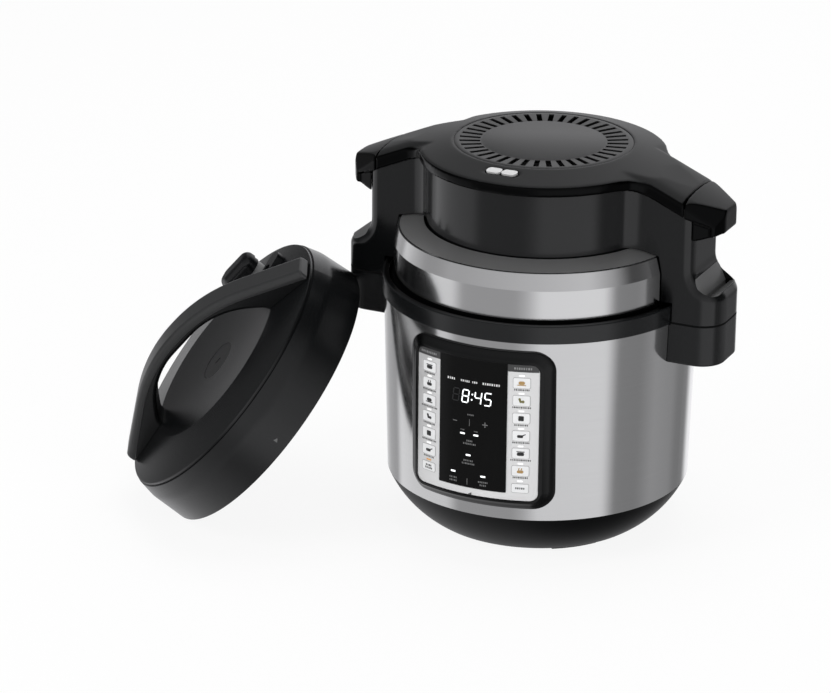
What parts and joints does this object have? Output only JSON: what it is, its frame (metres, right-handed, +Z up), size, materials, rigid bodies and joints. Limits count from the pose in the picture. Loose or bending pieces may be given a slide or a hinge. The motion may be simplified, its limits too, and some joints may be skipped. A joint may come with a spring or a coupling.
{
  "type": "electric pressure cooker",
  "caption": "Round countertop pressure cooker with a front touch panel, an air-frying lid with a vented top fitted, and its arched-handle pressure lid leaning beside it.",
  "frame": {"origin": "on the cooker's vertical axis, in the plane that its four feet stand on", "axes": "+Z up, -Y out of the control panel, +X towards the right carrying handle as the user sees it"},
  "size_m": [0.5953, 0.4338, 0.39],
  "materials": {
    "matte_black": "fine-grained moulded black",
    "satin_black": "satin dark grey top mouldings",
    "gloss_black": "smooth glossy black",
    "brushed_steel": "brushed stainless steel",
    "plain_steel": "plain pressed steel",
    "cast_aluminium": "machined casting",
    "pot_coating": "dark non-stick coating on aluminium",
    "panel_print": "silver print with a black display window",
    "circuit_green": "circuit board",
    "display_black": "display block",
    "clear_plastic": "clear moulded cup",
    "grey_plastic": "mid grey moulding",
    "light_grey": "pale diffuser",
    "silicone": "translucent grey silicone",
    "black_rubber": "rubber",
    "brass": "contacts",
    "heater_tube": "oxidised heater tube"
  },
  "bodies": {
    "base": {"base_housing": "matte_black", "bottom_cover": "matte_black", "bottom_screws": "plain_steel", "rubber_feet": "black_rubber", "body_shell": "brushed_steel", "top_collar": "matte_black", "inner_liner": "plain_steel", "locking_ring": "plain_steel", "heating_plate": "cast_aluminium", "plate_element": "heater_tube", "sensor_cup": "plain_steel", "sensor_spring": "plain_steel", "right_base_handle": "matte_black", "left_base_handle": "matte_black", "lid_socket": "matte_black", "panel_bezel": "matte_black", "control_panel": "panel_print", "control_board": "circuit_green", "display_module": "display_black", "power_inlet": "matte_black", "inlet_blades": "brass", "power_board": "circuit_green", "cup_holder": "matte_black"},
    "sensor": {"sensor_button": "cast_aluminium"},
    "drip_cup": {"condensation_cup": "clear_plastic"},
    "pot": {"inner_pot": "pot_coating"},
    "frying_lid": {"lid_top_cover": "satin_black", "indicator_light": "light_grey", "lid_side_housing": "gloss_black", "right_grip_scoop": "satin_black", "left_grip_scoop": "satin_black", "right_nose_cap": "satin_black", "left_nose_cap": "satin_black", "vent_grille": "satin_black", "lid_steel_ring": "brushed_steel", "lid_seal": "silicone", "heat_pan": "plain_steel", "fryer_element": "heater_tube", "fan_guard": "plain_steel", "fan_motor": "plain_steel", "lid_contacts": "brass"},
    "fans": {"fan_shaft": "plain_steel", "convection_fan": "plain_steel", "cooling_fan": "grey_plastic"},
    "pressure_lid": {"pressure_lid_shell": "matte_black", "dome_cap": "gloss_black", "grip_base": "matte_black", "grip_cover": "satin_black", "steam_pipe": "plain_steel", "valve_pedestal": "grey_plastic", "float_guard": "matte_black", "steel_inner_lid": "plain_steel", "sealing_ring": "silicone", "seal_rack": "plain_steel", "steam_filter": "plain_steel", "centre_bolt": "plain_steel"},
    "valve_knob": {"steam_valve": "satin_black"},
    "float_pin": {"float_valve": "plain_steel"}
  },
  "joints": [
    {"name": "sensor_press", "type": "slide", "parent": "base", "child": "sensor", "axis": [0, 0, -1], "range_m": [0, 0.002], "stiffness_N_per_m": 400, "springref_m": -0.002, "deforming": ["sensor_spring"]},
    {"name": "drip_cup_pull", "type": "slide", "parent": "base", "child": "drip_cup", "axis": [0, 1, 0], "range_m": [0, 0.04]},
    {"name": "frying_lid_lift", "type": "slide", "parent": "base", "child": "frying_lid", "axis": [0, 0, 1], "range_m": [0, 0.46]},
    {"name": "pot_lift", "type": "slide", "parent": "base", "child": "pot", "axis": [0, 0, 1], "range_m": [0, 0.23]},
    {"name": "fan_spin", "type": "hinge", "parent": "frying_lid", "child": "fans", "pos_m": [0, 0, 0.276], "axis": [0, 0, 1], "continuous": true},
    {"name": "pressure_lid_away", "type": "slide", "parent": "base", "child": "pressure_lid", "axis": [-0.8339, -0.5519, 0], "range_m": [0, 0.2]},
    {"name": "steam_valve_turn", "type": "hinge", "parent": "pressure_lid", "child": "valve_knob", "pos_m": [-0.29816, -0.05647, 0.2297], "axis": [-0.6544, -0.4331, 0.6198], "range_deg": [0, 40]},
    {"name": "float_rise", "type": "slide", "parent": "pressure_lid", "child": "float_pin", "axis": [-0.6544, -0.4331, 0.6198], "range_m": [0, 0.003]}
  ],
  "couplings": [
    {"joint": "pot_lift", "follows": "frying_lid_lift", "ratio": 0.5}
  ]
}
